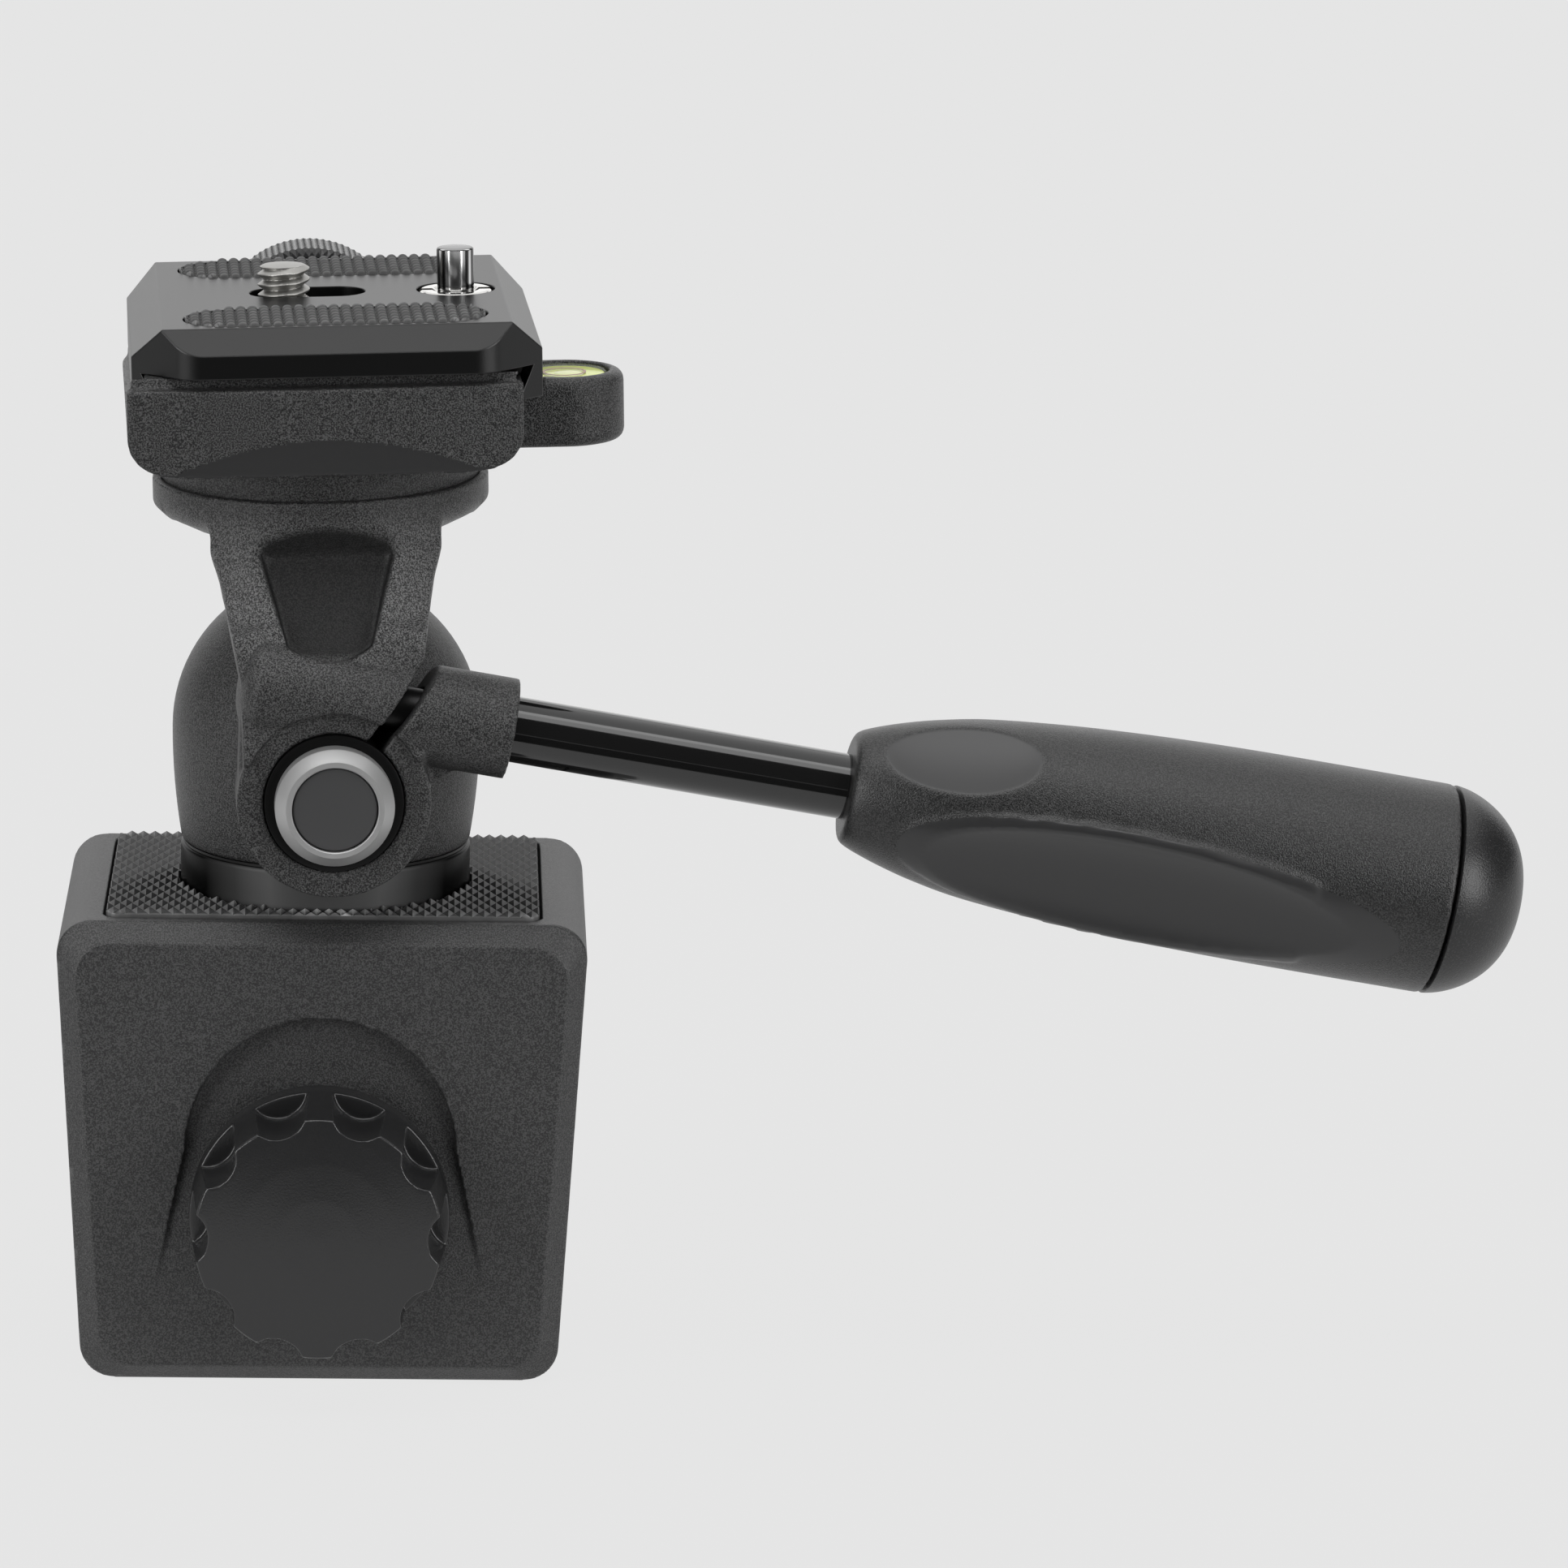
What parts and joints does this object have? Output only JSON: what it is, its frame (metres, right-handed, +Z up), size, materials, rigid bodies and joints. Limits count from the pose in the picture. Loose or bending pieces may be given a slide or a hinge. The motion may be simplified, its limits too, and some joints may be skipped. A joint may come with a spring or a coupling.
{
  "type": "two-way pan tilt head",
  "caption": "Two-way pan and tilt head with handle, quick plate and level, on a screw clamp for a window pane",
  "frame": {"origin": "on the pan axis, at the level of the clamp's feet", "axes": "+X towards the handle, +Y away from the clamp knob, +Z up along the pan axis"},
  "size_m": [0.1785, 0.0784, 0.1369],
  "materials": {
    "black_plastic": "fine-grained black moulding",
    "knob_plastic": "smooth matt black",
    "cast_black": "pebbled black powder coat",
    "anodised_black": "satin black anodised",
    "rubber_black": "moulded pattern",
    "grip_soft": "fine leathery grain",
    "steel": "turned steel",
    "nickel": "satin nickel",
    "cap_metal": "turned and bevelled",
    "brass": "plain",
    "black_rod": "gloss black",
    "slide_plastic": "acetal",
    "vial_clear": "clear acrylic",
    "vial_liquid": "yellow-green spirit"
  },
  "bodies": {
    "clamp": {"clamp_body": "black_plastic", "leg_cover": "black_plastic", "cover_screws": "steel", "top_pad": "rubber_black", "rear_jaw_pad": "rubber_black", "spindle_nut": "brass", "pan_base": "anodised_black", "pan_washer": "steel", "spring_washer": "steel"},
    "pressure": {"pressure_plate": "steel", "pressure_pad": "rubber_black", "guide_pins": "steel"},
    "clamp_screw": {"clamp_spindle": "steel", "spindle_clip": "steel", "clamp_knob": "knob_plastic"},
    "pan": {"pan_bolt": "steel", "pan_body": "cast_black", "tilt_axle": "steel", "thrust_washer": "slide_plastic", "tilt_bush": "slide_plastic", "axle_cap": "cap_metal", "axle_screw": "steel", "cap_disc": "cap_metal"},
    "tilt": {"tilt_bracket": "cast_black", "handle_nut": "brass", "platform": "cast_black", "platform_screw": "steel", "platform_pins": "steel", "level_vial": "vial_clear", "level_liquid": "vial_liquid", "quick_plate": "anodised_black", "rubber_strips": "rubber_black", "pin_nut": "nickel", "pin_cup": "steel"},
    "handle": {"handle_rod": "black_rod", "handle_grip": "grip_soft", "grip_end_cap": "grip_soft"},
    "lock": {"lock_screw": "steel", "lock_collar": "steel", "lock_knob": "knob_plastic"},
    "wedge": {"lock_wedge": "steel"},
    "jaw": {"lock_jaw": "steel"},
    "carriage": {"screw_clip": "steel"},
    "screw": {"camera_screw": "nickel"},
    "pin": {"video_pin": "nickel", "pin_spring": "steel"}
  },
  "joints": [
    {"name": "clamp_slide", "type": "slide", "parent": "clamp", "child": "pressure", "axis": [0, 1, 0], "range_m": [-0.0064, 0.0012]},
    {"name": "clamp_knob_turn", "type": "hinge", "parent": "pressure", "child": "clamp_screw", "pos_m": [0, -0.03, 0.0226], "axis": [0, 1, 0], "range_deg": [-1160, 220]},
    {"name": "pan_turn", "type": "hinge", "parent": "clamp", "child": "pan", "pos_m": [0, 0, 0.06], "axis": [0, 0, 1], "continuous": true},
    {"name": "tilt_turn", "type": "hinge", "parent": "pan", "child": "tilt", "pos_m": [0, 0, 0.0737], "axis": [-0.0506, 0.9987, 0], "range_deg": [-75, 24]},
    {"name": "handle_turn", "type": "hinge", "parent": "tilt", "child": "handle", "pos_m": [0.00319, -0.02247, 0.08532], "axis": [0.9835, 0.0498, -0.1736], "range_deg": [-270, 20]},
    {"name": "lock_turn", "type": "hinge", "parent": "tilt", "child": "lock", "pos_m": [-0.00291, 0.03189, 0.12008], "axis": [-0.0506, 0.9987, 0], "range_deg": [0, 680]},
    {"name": "wedge_slide", "type": "slide", "parent": "tilt", "child": "wedge", "axis": [-0.0506, 0.9987, 0], "range_m": [0, 0.00375]},
    {"name": "jaw_slide", "type": "slide", "parent": "tilt", "child": "jaw", "axis": [0.9983, 0.0506, 0.0279], "range_m": [-0.0022, 0]},
    {"name": "screw_slide", "type": "slide", "parent": "tilt", "child": "carriage", "axis": [0.9983, 0.0506, 0.0279], "range_m": [-0.0006, 0.0064]},
    {"name": "screw_turn", "type": "hinge", "parent": "carriage", "child": "screw", "pos_m": [-0.0056, -0.00028, 0.1312], "axis": [-0.0279, -0.0014, 0.9996], "continuous": true},
    {"name": "pin_press", "type": "slide", "parent": "tilt", "child": "pin", "axis": [-0.0279, -0.0014, 0.9996], "range_m": [-0.0046, 0], "stiffness_N_per_m": 400, "springref_m": 0.004, "deforming": ["pin_spring"]}
  ],
  "couplings": [
    {"joint": "clamp_knob_turn", "follows": "clamp_slide", "rad_per_m": 3141.6},
    {"joint": "lock_turn", "follows": "wedge_slide", "rad_per_m": 3141.6},
    {"joint": "jaw_slide", "follows": "wedge_slide", "ratio": -0.57735}
  ]
}
